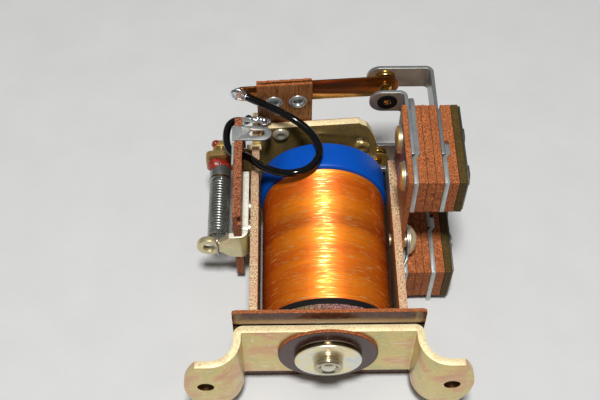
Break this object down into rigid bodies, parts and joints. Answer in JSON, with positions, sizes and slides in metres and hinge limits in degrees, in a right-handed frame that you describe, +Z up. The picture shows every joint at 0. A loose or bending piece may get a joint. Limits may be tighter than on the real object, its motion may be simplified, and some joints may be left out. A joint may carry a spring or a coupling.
{
  "type": "electromagnetic relay",
  "caption": "Open-frame clapper relay with amber coil, hinged armature, return spring and change-over contacts in fibre stacks, on a bracket with two holed ears.",
  "frame": {"origin": "midway between the two ear holes, on the plane that the ears' front faces lie in", "axes": "-Y out of the mounting plane, away from the relay; +Z up as it lies in the picture, upper contacts on top; +X towards the contact stacks"},
  "size_m": [0.0616, 0.0706, 0.0423],
  "materials": {
    "chromate_steel": "pale gold chromate over zinc, faint iridescence",
    "fibre": "laminated vulcanised fibre, speckled edge",
    "insulating_board": "laminated board, smooth grey-purple face",
    "dark_fibre": "dark red-brown fibre",
    "zinc_steel": "zinc plated",
    "core_iron": "soft iron, dull",
    "black_plastic": "moulded",
    "enamelled_copper": "amber enamelled fine wire, layer wound",
    "blue_plastic": "saturated blue moulding",
    "tinned_metal": "tin plated, blue-grey",
    "contact_brass": "worn",
    "olive_plate": "olive brown",
    "dull_steel": "grey, dull",
    "amber_screw": "amber passivated",
    "blade_bronze": "copper bronze, tarnished",
    "red_lacquer": "red locking lacquer",
    "black_insulation": "glossy sleeving"
  },
  "bodies": {
    "frame": {"mounting_bracket": "chromate_steel", "insulating_plate": "insulating_board", "fibre_washer": "dark_fibre", "steel_washer": "zinc_steel", "core_nut": "zinc_steel", "core": "core_iron", "yoke": "chromate_steel", "bobbin": "black_plastic", "winding": "enamelled_copper", "rear_cap": "blue_plastic", "terminal_board": "fibre", "spring_bracket": "chromate_steel", "slotted_tags": "tinned_metal", "soldered_tag": "tinned_metal", "board_rivets": "zinc_steel", "contact_carrier": "fibre", "carrier_screw": "chromate_steel", "formed_washer": "tinned_metal", "upper_make_bracket": "tinned_metal", "upper_make_button": "contact_brass", "upper_make_strip": "tinned_metal", "upper_break_bracket": "tinned_metal", "upper_break_button": "contact_brass", "upper_break_strip": "tinned_metal", "lower_make_bracket": "tinned_metal", "lower_make_button": "contact_brass", "lower_make_strip": "tinned_metal", "lower_break_bracket": "tinned_metal", "lower_break_button": "contact_brass", "lower_break_strip": "tinned_metal", "upper_spacers": "fibre", "upper_cover": "fibre", "upper_clamp_plate": "olive_plate", "upper_nut_plate": "dull_steel", "lower_spacers": "fibre", "lower_cover": "fibre", "lower_clamp_plate": "olive_plate", "lower_nut_plate": "dull_steel", "upper_screws": "amber_screw", "upper_screw_washers": "tinned_metal", "upper_nuts": "dull_steel", "lower_screws": "dull_steel"},
    "armature": {"armature": "chromate_steel", "armature_rivets": "zinc_steel", "insulating_card": "fibre", "block_front": "fibre", "block_rear": "fibre", "block_eyelets": "tinned_metal", "upper_blade": "blade_bronze", "upper_moving_contact": "contact_brass", "lower_blade": "blade_bronze", "lower_moving_contact": "contact_brass", "adjusting_post": "zinc_steel", "spring_plug": "dull_steel", "adjusting_nut": "olive_plate", "lacquer_seal": "red_lacquer", "return_spring": "dull_steel", "tail_solder": "tinned_metal", "flexible_lead": "black_insulation"}
  },
  "joints": [
    {"name": "armature_hinge", "type": "hinge", "parent": "frame", "child": "armature", "pos_m": [-0.016, 0.0606, 0], "axis": [0, 0, 1], "range_deg": [-3.7, 0], "stiffness_Nm_per_rad": 0.02, "springref_deg": 11.46, "deforming": ["return_spring", "flexible_lead"]}
  ]
}
